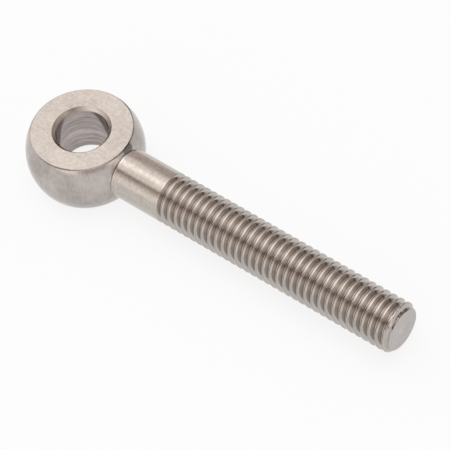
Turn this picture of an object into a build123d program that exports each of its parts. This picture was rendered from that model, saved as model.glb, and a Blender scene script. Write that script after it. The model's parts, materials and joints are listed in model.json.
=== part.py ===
from build123d import *
import os
from math import sqrt

# Eye bolt: one piece of stainless steel, a bored ball eye on a long shank for an M8 thread.
# The origin is the centre of the eye, +X runs along the shank and +Z up the bore.
# Sizes are in millimetres.

# The eye: a ball with two flats milled on it and a bore through both
ball_diameter = 18.0
eye_width = 9.0
flat_edge_break = 0.12
bore_diameter = 8.0
bore_chamfer = 0.5

# The neck: a fine turned groove between the ball and the shank, one side of it the ball
# and the other a bevel on the shank
neck_groove_depth = 0.16
neck_bevel_length = 0.3

# The shank: one diameter all along, which is also the one over the crests of the thread.
# The tip is chamfered down to about the root of the thread.
shank_diameter = 7.8
eye_to_tip = 58.5
tip_diameter = 6.5
tip_chamfer_length = 0.65


def eye():
    """The ball between its two flats, with its bore, turned about the bore's axis."""
    ball_radius = ball_diameter / 2
    bore_radius = bore_diameter / 2
    mouth_radius = bore_radius + bore_chamfer
    half_width = eye_width / 2
    wall_height = half_width - bore_chamfer
    flat_radius = sqrt(ball_radius**2 - half_width**2) - flat_edge_break
    rim_height = half_width - flat_edge_break
    rim_radius = sqrt(ball_radius**2 - rim_height**2)

    with BuildSketch(Plane.XZ) as half_section:
        with BuildLine():
            ThreePointArc((rim_radius, -rim_height), (ball_radius, 0), (rim_radius, rim_height))
            Polyline(
                (rim_radius, rim_height),
                (flat_radius, half_width),
                (mouth_radius, half_width),
                (bore_radius, wall_height),
                (bore_radius, -wall_height),
                (mouth_radius, -half_width),
                (flat_radius, -half_width),
                (rim_radius, -rim_height),
            )
        make_face()
    return revolve(half_section.sketch, Axis.Z)


def shank():
    """The bevelled neck, the shank and its chamfered tip, turned about the shank's axis."""
    ball_radius = ball_diameter / 2
    shank_radius = shank_diameter / 2
    groove_radius = shank_radius - neck_groove_depth
    groove_bottom = sqrt(ball_radius**2 - groove_radius**2)
    inside_ball = groove_bottom - neck_bevel_length

    with BuildSketch(Plane.XZ) as half_section:
        with BuildLine():
            Polyline(
                (inside_ball, 0),
                (inside_ball, groove_radius - neck_groove_depth),
                (groove_bottom + neck_bevel_length, shank_radius),
                (eye_to_tip - tip_chamfer_length, shank_radius),
                (eye_to_tip, tip_diameter / 2),
                (eye_to_tip, 0),
                close=True,
            )
        make_face()
    return revolve(half_section.sketch, Axis.X)


def eye_bolt():
    """The eye and the shank, one solid as they are one piece of bar."""
    return eye() + shank()


os.makedirs("parts", exist_ok=True)
export_step(eye_bolt(), "parts/eye_bolt.step")
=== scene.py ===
import json
from math import asin, cos, pi, radians, sin, sqrt, tan
from random import Random

import bmesh
import bpy
from mathutils import Euler, Matrix, Vector


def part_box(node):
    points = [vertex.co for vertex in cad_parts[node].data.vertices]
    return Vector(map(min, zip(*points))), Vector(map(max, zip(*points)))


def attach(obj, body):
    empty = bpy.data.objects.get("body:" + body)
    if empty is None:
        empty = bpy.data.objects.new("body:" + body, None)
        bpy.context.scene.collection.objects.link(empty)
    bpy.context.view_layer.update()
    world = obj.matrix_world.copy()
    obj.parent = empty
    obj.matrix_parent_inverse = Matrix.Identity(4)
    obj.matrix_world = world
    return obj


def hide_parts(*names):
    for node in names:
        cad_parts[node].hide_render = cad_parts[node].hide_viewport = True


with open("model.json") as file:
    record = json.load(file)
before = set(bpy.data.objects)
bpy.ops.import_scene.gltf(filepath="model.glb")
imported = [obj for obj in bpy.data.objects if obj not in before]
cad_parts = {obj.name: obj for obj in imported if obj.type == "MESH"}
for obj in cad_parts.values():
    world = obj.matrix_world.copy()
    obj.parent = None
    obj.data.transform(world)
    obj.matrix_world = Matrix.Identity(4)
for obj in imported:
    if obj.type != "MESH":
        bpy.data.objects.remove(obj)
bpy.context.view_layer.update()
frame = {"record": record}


# THE EYE
# A ball turned on the end of a bar of stainless steel, with a flat ground on each side and a
# hole bored through both. Its rims keep a fine break, and the mouths of the hole are chamfered.

# All of the bolt is modelled in millimetres and brought to metres when it is finished
per_metre = 1000
mounts = {mount["name"]: mount for mount in frame["record"]["mounts"]}
box_low, box_high = [corner * per_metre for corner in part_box("eye_bolt")]
ball_radius = box_high.y
half_width = box_high.z
bore_radius = mounts["eye_bore"]["dims"]["r_mm"]
shank_radius = mounts["shank"]["dims"]["r_mm"]
rim_break = 0.12
bore_chamfer = 0.5
neck_groove_depth = 0.16
eye_steps = 144
ball_steps = 24
on_a_face = 0.001


def line_through(bm, start, points):
    """Draws a line of edges from a vertex through the points, and returns its last vertex."""
    for point in points:
        end = bm.verts.new(point)
        bm.edges.new((start, end))
        start = end
    return start


def whole(bm):
    """All that a mesh is made of, for an operator to work on."""
    return bm.verts[:] + bm.edges[:] + bm.faces[:]


def open_ring(bm, keep):
    """The edges of an open rim whose two ends both pass the test."""
    return [e for e in bm.edges if e.is_boundary and all(keep(v.co) for v in e.verts)]


bolt = bmesh.new()
rim_height = half_width - rim_break
rim_radius = sqrt(ball_radius**2 - rim_height**2)
flat_radius = sqrt(ball_radius**2 - half_width**2) - rim_break
mouth_radius = bore_radius + bore_chamfer
wall_height = half_width - bore_chamfer

lower_rim = bolt.verts.new((rim_radius, 0, -rim_height))
arc = bmesh.ops.spin(
    bolt, geom=[lower_rim], cent=(0, 0, 0), axis=(0, -1, 0),
    angle=2 * asin(rim_height / ball_radius), steps=ball_steps,
)
upper_rim = arc["geom_last"][0]
section_end = line_through(bolt, upper_rim, [
    (flat_radius, 0, half_width),
    (mouth_radius, 0, half_width),
    (bore_radius, 0, wall_height),
    (bore_radius, 0, -wall_height),
    (mouth_radius, 0, -half_width),
    (flat_radius, 0, -half_width),
])
bolt.edges.new((section_end, lower_rim))
bmesh.ops.spin(
    bolt, geom=whole(bolt), cent=(0, 0, 0), axis=(0, 0, 1),
    angle=2 * pi, steps=eye_steps, use_merge=True,
)

# The ball ends in an open ring at the bottom of the neck's groove
groove_radius = shank_radius - neck_groove_depth
neck_x = sqrt(ball_radius**2 - groove_radius**2)
bmesh.ops.bisect_plane(
    bolt, geom=whole(bolt), plane_co=(neck_x, 0, 0), plane_no=(1, 0, 0), clear_outer=True
)
for vert in {v for e in open_ring(bolt, lambda co: True) for v in e.verts}:
    vert.co.yz = vert.co.yz.normalized() * groove_radius

BALL, FLAT, BORE, CHAMFER, SHANK, EDGE, THREAD, END, DIP = range(9)
for face in bolt.faces:
    centre = face.calc_center_median()
    if abs(centre.z) > half_width - on_a_face:
        face.material_index = FLAT
    elif centre.xy.length < mouth_radius:
        face.material_index = BORE if abs(centre.z) < wall_height else CHAMFER


def node(tree, kind, inputs, **settings):
    """Adds a shader node, with its settings and its inputs as values or as other sockets."""
    made = tree.nodes.new("ShaderNode" + kind)
    for name, value in settings.items():
        setattr(made, name, value)
    for name, value in inputs.items():
        if isinstance(value, bpy.types.NodeSocket):
            tree.links.new(value, made.inputs[name])
        else:
            made.inputs[name].default_value = value
    return made.outputs


def added(tree, total, value, amount):
    """A running total with so much of a value added to it."""
    return node(tree, "Math", {0: value, 1: amount, 2: total}, operation="MULTIPLY_ADD")[0]


def millimetres(tree):
    """The bolt's own coordinates in millimetres."""
    place = node(tree, "TexCoord", {})["Object"]
    return node(tree, "VectorMath", {0: place, "Scale": per_metre}, operation="SCALE")[0]


def steel(name, colour, roughness, marks, place=millimetres, shade=None, grazing=1.0):
    """Bare stainless steel with the marks of its machining.

    Each mark is noise: its waves to the millimetre along each axis of the place, its fineness,
    how much it tints and roughens the steel, and how high it stands in millimetres. A shade
    darkens the steel from place to place. Grazing is the share of its shine that the steel
    keeps where it is seen along its surface.
    """
    material = bpy.data.materials.new(name)
    material.use_nodes = True
    tree = material.node_tree
    shader = tree.nodes["Principled BSDF"]
    shader.inputs["Metallic"].default_value = 1.0
    shader.inputs["Specular Tint"].default_value = (grazing, grazing, grazing, 1)
    position = place(tree)
    tint, rough, height = 1.0, roughness, 0.0
    for waves, fineness, tint_by, rough_by, height_by in marks:
        stretched = node(tree, "VectorMath", {0: position, 1: waves}, operation="MULTIPLY")[0]
        noise = node(tree, "TexNoise", {
            "Vector": stretched, "Scale": 1.0, "Detail": fineness, "Roughness": 0.7,
        })["Fac"]
        centred = node(tree, "Math", {0: noise, 1: 0.5}, operation="SUBTRACT")[0]
        tint = added(tree, tint, centred, 2 * tint_by)
        rough = added(tree, rough, centred, 2 * rough_by)
        height = added(tree, height, noise, height_by)
    if shade is not None:
        tint = node(tree, "Math", {0: tint, 1: shade(tree)}, operation="MULTIPLY")[0]
    tinted = node(tree, "VectorMath", {0: colour, "Scale": tint}, operation="SCALE")[0]
    raised = node(tree, "Bump", {"Height": height, "Distance": 1 / per_metre, "Strength": 1.0})[0]
    tree.links.new(tinted, shader.inputs["Base Color"])
    tree.links.new(rough, shader.inputs["Roughness"])
    tree.links.new(raised, shader.inputs["Normal"])
    return material


# A painted shade on the ball: darker round a point in the corner between its rim and the neck
painted_shade_centre = (neck_x - 0.2, 1.2, 4.2)
painted_shade_radius = 0.8
painted_shade_edge = 0.5
painted_shade_darkness = 0.35


def neck_corner_painted_shade(tree):
    """A painted shade for the ball, dark in the corner of its rim and the neck."""
    distance = node(tree, "VectorMath", {
        0: millimetres(tree), 1: painted_shade_centre}, operation="DISTANCE")["Value"]
    return node(tree, "MapRange", {
        "Value": distance, "From Min": painted_shade_radius, "From Max": painted_shade_radius + painted_shade_edge,
        "To Min": painted_shade_darkness, "To Max": 1.0,
    })[0]


finishes = {
    # The ball carries the painted shade in the corner by the neck
    BALL: steel("turned_ball", (0.440, 0.400, 0.374), 0.16, [
        ((3.0, 3.0, 0.2), 4, 0.30, 0.06, 0.004),
        ((0.2, 0.2, 0.2), 3, 0.50, 0.08, 0.0),
    ], shade=neck_corner_painted_shade),
    FLAT: steel("ground_flat", (0.532, 0.498, 0.460), 0.38, [
        ((1.8, 1.8, 1.8), 8, 0.42, 0.10, 0.006),
        ((0.5, 3.5, 1.0), 4, 0.22, 0.06, 0.002),
        ((0.2, 0.2, 0.2), 2, 0.14, 0.04, 0.0),
    ]),
    BORE: steel("bored_wall", (0.384, 0.338, 0.324), 0.14, [
        ((0.12, 0.12, 2.0), 4, 1.00, 0.08, 0.010),
        ((0.5, 0.5, 1.2), 2, 0.25, 0.04, 0.0),
    ], grazing=0.76),
    CHAMFER: steel("chamfered_mouth", (0.610, 0.565, 0.515), 0.34, [
        ((0.3, 0.3, 6.0), 4, 0.60, 0.08, 0.006),
        ((0.5, 0.5, 1.2), 2, 0.25, 0.04, 0.0),
    ]),
}


# THE THREADED SHANK
# The same bar, turned down to a short plain neck and a shank of one diameter. A right-hand M8
# thread is rolled on, which fades out at the neck in half a turn and runs off the chamfered tip.
tip_x = box_high.x
pitch = 1.25
root_radius = 3.22
crest_width = 0.32
root_round = 0.12
crest_round = 0.13
flank_angle = radians(30)
half_groove = (pitch - crest_width) / 2
half_root = half_groove - (shank_radius - root_radius) * tan(flank_angle)
neck_bevel_length = 0.3
tip_chamfer = 0.65

# Where the first groove begins, along the shank and round it, and how far round it fades in
first_groove_x = 16.21
first_groove_angle = radians(-151.875)
run_out_angle = pi

# How finely the thread is drawn: the short margin beside each round keeps the flank's shading
# flat, and the tie settles the points half way between two grooves
neck_turns = 7
thread_turns = 34
steps_round = 84
round_steps = 3
flank_margin = 0.015
groove_tie = 1e-6


def groove_section():
    """Points across one pitch, from the middle of a crest through a groove to the next crest."""
    turn = pi / 2 - flank_angle
    root = Vector((half_root - root_round * tan(turn / 2), root_radius + root_round))
    crest = Vector((half_groove + crest_round * tan(turn / 2), shank_radius - crest_round))
    margin = flank_margin * Vector((sin(flank_angle), cos(flank_angle)))
    outwards = [turn * step / round_steps for step in range(round_steps + 1)]
    directions = [Vector((sin(angle), -cos(angle))) for angle in outwards]
    root_arc = [root + root_round * direction for direction in directions]
    crest_arc = [crest - crest_round * direction for direction in reversed(directions)]
    side = root_arc + [root_arc[-1] + margin, crest_arc[0] - margin] + crest_arc
    side.append(Vector((pitch / 2, shank_radius)))
    return [(-x, r) for x, r in reversed(side)] + [(x, r) for x, r in side]


# The shank is laid out flat first, length along x, angle along y and radius along z, where the
# thread's run-out and the tip's chamfer are plane cuts, and then rolled up round its axis
sheet = bmesh.new()
along = [
    (first_groove_x + turn * pitch + x, 0, r)
    for turn in range(-neck_turns, thread_turns + 1)
    for x, r in groove_section()[:-1]
]
line_through(sheet, sheet.verts.new(along[0]), along[1:])
bmesh.ops.spin(
    sheet, geom=whole(sheet), cent=(0, 0, 0), axis=(0, 0, 1), angle=0,
    dvec=(pitch / steps_round, 2 * pi / steps_round, 0), steps=steps_round,
)


def groove_number(co):
    """Which groove a point of the flat sheet belongs to, 0 for the first one."""
    return round((co.x - first_groove_x) / pitch - co.y / (2 * pi) + groove_tie)


full_depth = shank_radius - root_radius
for vert in sheet.verts:
    number = groove_number(vert.co)
    if number < 0:
        vert.co.z = shank_radius
    elif number == 0:
        vert.co.z += full_depth * max(0, 1 - vert.co.y / run_out_angle)


def cut(bm, point, normal, near):
    """Cuts edges into a mesh along a plane, round the points that pass the test."""
    faces = dict.fromkeys(f for v in bm.verts if near(v.co) for f in v.link_faces)
    edges = dict.fromkeys(e for f in faces for e in f.edges)
    verts = dict.fromkeys(v for f in faces for v in f.verts)
    bmesh.ops.bisect_plane(bm, geom=[*verts, *edges, *faces], plane_co=point, plane_no=normal)


cut(sheet, (0, 0, shank_radius), (0, 0, 1),
    lambda co: groove_number(co) == 0 and co.y < run_out_angle)
cone_start = Vector((tip_x - tip_chamfer, 0, shank_radius))
cut(sheet, cone_start, (1, 0, 1), lambda co: co.x > cone_start.x - pitch)
for vert in sheet.verts:
    vert.co.z = min(vert.co.z, shank_radius, cone_start.x + shank_radius - vert.co.x)
bmesh.ops.bisect_plane(
    sheet, geom=whole(sheet), plane_co=(tip_x, 0, 0), plane_no=(1, 0, 0), clear_outer=True
)
shoulder_x = neck_x + neck_bevel_length
bmesh.ops.bisect_plane(
    sheet, geom=whole(sheet), plane_co=(shoulder_x, 0, 0), plane_no=(1, 0, 0), clear_inner=True
)
for face in sheet.faces:
    centre = face.calc_center_median()
    past_first = centre.x - pitch * centre.y / (2 * pi) > first_groove_x - half_groove
    face.material_index = THREAD if past_first else SHANK

# The chamfer was cut through the last turn of the thread, and left it a little torn
torn = Random(8)
torn_depth = 0.09
torn_before_chamfer = 0.25
whole_before_tip = 0.05
whole_beside_seam = 0.1
for vert in sheet.verts:
    near_chamfer = cone_start.x - torn_before_chamfer < vert.co.x < tip_x - whole_before_tip
    off_seam = whole_beside_seam < vert.co.y < 2 * pi - whole_beside_seam
    if near_chamfer and off_seam:
        vert.co.z -= torn_depth * torn.random() ** 2

for vert in sheet.verts:
    angle = first_groove_angle + vert.co.y
    radius = vert.co.z
    vert.co = (vert.co.x, radius * cos(angle), radius * sin(angle))
bmesh.ops.remove_doubles(sheet, verts=sheet.verts[:], dist=2e-3)


def draw_ring(bm, ring, x, radius, finish):
    """Draws an open ring out to another length and radius, and returns the new ring."""
    made = bmesh.ops.extrude_edge_only(bm, edges=ring)["geom"]
    for face in made:
        if isinstance(face, bmesh.types.BMFace):
            face.material_index = finish
    ring = [g for g in made if isinstance(g, bmesh.types.BMEdge)]
    for vert in {v for e in ring for v in e.verts}:
        vert.co.x = x
        vert.co.yz = vert.co.yz.normalized() * radius
    return ring


# The end is faced, with a shallow dip at its centre where the tool stopped
on_a_ring = 0.01
dip_depth = 0.05
dip_radius = 0.5
dip_rim_radius = 0.7
ring = open_ring(sheet, lambda co: co.x > tip_x - on_a_ring)
ring = draw_ring(sheet, ring, tip_x, dip_rim_radius, END)
ring = draw_ring(sheet, ring, tip_x - dip_depth, dip_radius, DIP)
draw_ring(sheet, ring, tip_x - dip_depth, 0.0, DIP)

# The shoulder's edge is a narrow facet painted bright, a painted highlight, before the bevel goes
# down to the neck's groove
edge_length = 0.22
edge_drop = 0.045
ring = open_ring(sheet, lambda co: co.x < shoulder_x + on_a_ring)
draw_ring(sheet, ring, shoulder_x - edge_length, shank_radius - edge_drop, EDGE)


def thread_place(tree):
    """Coordinates that run with the thread: once round a circle for each pitch, and along."""
    x, y, z = node(tree, "SeparateXYZ", {0: millimetres(tree)})[:3]
    angle = node(tree, "Math", {0: z, 1: y}, operation="ARCTAN2")[0]
    lead = node(tree, "Math", {0: x, 1: 2 * pi / pitch}, operation="MULTIPLY")[0]
    phase = node(tree, "Math", {0: lead, 1: angle}, operation="SUBTRACT")[0]
    return node(tree, "CombineXYZ", {
        0: node(tree, "Math", {0: phase}, operation="COSINE")[0],
        1: node(tree, "Math", {0: phase}, operation="SINE")[0],
        2: x,
    })[0]


def off_axis(tree):
    """The way out from the shank's axis, as a vector and as a distance."""
    across = node(tree, "VectorMath", {0: millimetres(tree), 1: (0, 1, 1)}, operation="MULTIPLY")[0]
    return across, node(tree, "VectorMath", {0: across}, operation="LENGTH")["Value"]


def shaded(*steps):
    """A shade by the distance from the shank's axis.

    Each step has an inner and an outer radius and the shades at them, and the steps multiply.
    """
    def shade(tree):
        radius = off_axis(tree)[1]
        total = 1.0
        for inner_radius, outer_radius, inner_shade, outer_shade in steps:
            step = node(tree, "MapRange", {
                "Value": radius, "From Min": inner_radius, "From Max": outer_radius,
                "To Min": inner_shade, "To Max": outer_shade,
            })[0]
            total = node(tree, "Math", {0: step, 1: total}, operation="MULTIPLY")[0]
        return total
    return shade


def end_place(tree):
    """Coordinates that run in rings round the shank's axis."""
    across, radius = off_axis(tree)
    y, z = node(tree, "SeparateXYZ", {0: across})[1:3]
    return node(tree, "CombineXYZ", {0: radius, 1: y, 2: z})[0]


# The groove of the neck and the roots of the thread are darkened as painted shade, and the crests
# of the thread are a little darker
neck_shade, neck_shade_height = 0.3, 0.04
root_shade, root_shade_height = 0.76, 0.35
crest_shade, crest_shade_depth = 0.86, 0.12
finishes[SHANK] = steel("turned_shank", (0.498, 0.458, 0.417), 0.15, [
    ((2.5, 0.6, 0.6), 3, 0.12, 0.06, 0.003),
    ((0.35, 2.0, 2.0), 3, 0.14, 0.06, 0.002),
    ((1.8, 1.8, 1.8), 5, 0.32, 0.06, 0.003),
], shade=shaded((groove_radius, groove_radius + neck_shade_height, neck_shade, 1.0)))
# The shoulder's facet is painted far brighter than the shank, as a painted highlight
finishes[EDGE] = steel("burnished_edge", (0.800, 0.745, 0.690), 0.30, [
    ((1.0, 1.0, 1.0), 4, 0.50, 0.10, 0.003),
])
finishes[THREAD] = steel("rolled_thread", (0.492, 0.451, 0.418), 0.16, [
    ((2.0, 2.0, 0.3), 3, 0.15, 0.05, 0.002),
    ((0.3, 0.3, 1.5), 3, 0.15, 0.05, 0.0),
], place=thread_place, shade=shaded(
    (root_radius, root_radius + root_shade_height, root_shade, 1.0),
    (shank_radius - crest_shade_depth, shank_radius, 1.0, crest_shade),
))
finishes[END] = steel("faced_end", (0.478, 0.444, 0.426), 0.30, [
    ((3.0, 0.3, 0.3), 3, 0.20, 0.06, 0.004),
    ((0.8, 0.8, 0.8), 2, 0.12, 0.05, 0.0),
], place=end_place)
finishes[DIP] = steel("faced_dip", (0.530, 0.490, 0.470), 0.35, [
    ((3.0, 0.3, 0.3), 3, 0.20, 0.06, 0.004),
    ((1.5, 1.5, 1.5), 2, 0.30, 0.05, 0.0),
], place=end_place)


# THE FINISHED BOLT
# The eye and the shank are one piece of stainless steel bar, so their meshes are joined at the
# bottom of the fine groove that parts the ball from the shank.
sharp_angle = radians(25)
shank_mesh = bpy.data.meshes.new("shank_sheet")
sheet.to_mesh(shank_mesh)
sheet.free()
bolt.from_mesh(shank_mesh)
bpy.data.meshes.remove(shank_mesh)
neck = bmesh.ops.bridge_loops(bolt, edges=open_ring(bolt, lambda co: co.x < shoulder_x))
for face in neck["faces"]:
    face.material_index = SHANK
bmesh.ops.remove_doubles(bolt, verts=bolt.verts[:], dist=1e-4)
bmesh.ops.dissolve_degenerate(bolt, dist=1e-5, edges=bolt.edges[:])

# All faces are turned to point out of the steel
bmesh.ops.recalc_face_normals(bolt, faces=bolt.faces[:])
if bolt.calc_volume(signed=True) < 0:
    bmesh.ops.reverse_faces(bolt, faces=bolt.faces[:])
bmesh.ops.scale(bolt, vec=[1 / per_metre] * 3, verts=bolt.verts[:])

eye_bolt_mesh = bpy.data.meshes.new("eye_bolt_steel")
bolt.to_mesh(eye_bolt_mesh)
bolt.free()
eye_bolt_mesh.shade_smooth()
eye_bolt_mesh.set_sharp_from_angle(angle=sharp_angle)
for finish in sorted(finishes):
    eye_bolt_mesh.materials.append(finishes[finish])
eye_bolt = bpy.data.objects.new("eye_bolt_steel", eye_bolt_mesh)
bpy.context.scene.collection.objects.link(eye_bolt)
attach(eye_bolt, "root")
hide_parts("eye_bolt")


# THE STUDIO
# A sheet of white paper under soft light: large softboxes above and behind, cards at the
# sides, and dark flags between them that draw the stripes along the turned steel.
floor_reach = 1.5
floor_gap = 0.02
floor_z = (box_low.z - floor_gap) / per_metre
floor_mesh = bpy.data.meshes.new("floor")
paper_sheet = bmesh.new()
bmesh.ops.create_grid(paper_sheet, x_segments=1, y_segments=1, size=floor_reach)
bmesh.ops.translate(paper_sheet, vec=(0, 0, floor_z), verts=paper_sheet.verts[:])
paper_sheet.to_mesh(floor_mesh)
paper_sheet.free()
floor = bpy.data.objects.new("floor", floor_mesh)
bpy.context.scene.collection.objects.link(floor)

# The camera and the steel see most of the paper as plain white, and the rest as it is lit
white_share = 0.85
paper = bpy.data.materials.new("white_paper")
paper.use_nodes = True
paper_tree = paper.node_tree
paper_shader = paper_tree.nodes["Principled BSDF"]
paper_shader.inputs["Base Color"].default_value = (0.80, 0.83, 0.86, 1)
paper_shader.inputs["Roughness"].default_value = 0.9
paper_shader.inputs["Specular IOR Level"].default_value = 0.2
ray = node(paper_tree, "LightPath", {})
seen = node(paper_tree, "Math", {
    0: ray["Is Camera Ray"], 1: ray["Is Glossy Ray"]}, operation="MAXIMUM")[0]
seen = node(paper_tree, "Math", {0: seen, 1: ray["Is Transmission Ray"]}, operation="MAXIMUM")[0]
share = node(paper_tree, "Math", {0: seen, 1: white_share}, operation="MULTIPLY")[0]
white = node(paper_tree, "Emission", {"Color": (1, 1, 1, 1), "Strength": 1.0})[0]
mixed = node(paper_tree, "MixShader", {0: share, 1: paper_shader.outputs[0], 2: white})[0]
paper_tree.links.new(mixed, paper_tree.nodes["Material Output"].inputs["Surface"])
floor.data.materials.append(paper)

# Each light: its compass angle from the shank and its height, the radius of its even core and
# the width of its soft edge, all in degrees, and its strength, below 0 for a dark flag
room_colour = (0.417, 0.339, 0.302)
darkest = (0.08, 0.07, 0.06)
lights = {
    "overhead softbox": (94, 87, 2, 34, 1.22),
    "rear softbox": (145, 49, 45, 12, 0.78),
    "rear card": (167, 28, 6, 12, 0.9),
    "upper rear card": (178, 49, 4, 12, 0.6),
    "left card": (-104, 1, 28, 26, 0.83),
    "front card": (6, 9, 2, 17, 1.02),
    "left front card": (-41, 9, 45, 22, 0.32),
    "dark camera": (-25, 39, 8, 16, -0.45),
    "left flag": (-131, 31, 3, 13, -0.34),
    "right flag": (55, 4, 2, 12, -0.42),
    "rear flag": (125, 16, 11, 25, -0.56),
    "rear sill": (120, -6, 4, 16, 0.38),
}
world = bpy.data.worlds.new("studio")
world.use_nodes = True
world_tree = world.node_tree
direction = node(world_tree, "TexCoord", {})["Generated"]
light = 0.0
for compass, height, core, edge, strength in lights.values():
    compass, height = radians(compass), radians(height)
    towards = (cos(height) * cos(compass), cos(height) * sin(compass), sin(height))
    facing = node(world_tree, "VectorMath", {0: direction, 1: towards}, operation="DOT_PRODUCT")
    glow = node(world_tree, "MapRange", {
        "Value": facing["Value"], "From Min": cos(radians(core + edge)),
        "From Max": cos(radians(core)),
    }, interpolation_type="SMOOTHSTEP")[0]
    light = added(world_tree, light, glow, strength)
lit = node(world_tree, "CombineXYZ", {0: light, 1: light, 2: light})[0]
lit = node(world_tree, "VectorMath", {0: lit, 1: room_colour}, operation="ADD")[0]
lit = node(world_tree, "VectorMath", {0: lit, 1: darkest}, operation="MAXIMUM")[0]
world_tree.links.new(lit, world_tree.nodes["Background"].inputs["Color"])
bpy.context.scene.world = world
bpy.context.scene.view_settings.view_transform = "Standard"

# The camera has a long lens and looks down from 40 cm, over the bolt's tip and its right side
camera_place = Vector((0.19876, -0.16743, 0.30559))
camera_turn = Euler([radians(angle) for angle in (37.873, 5.620, 38.588)])
camera = bpy.data.objects.new("camera", bpy.data.cameras.new("camera"))
camera.data.sensor_width = 36
camera.data.lens = 214.81
camera.data.clip_start = 0.01
camera.matrix_world = Matrix.Translation(camera_place) @ camera_turn.to_matrix().to_4x4()
bpy.context.scene.collection.objects.link(camera)
bpy.context.scene.camera = camera
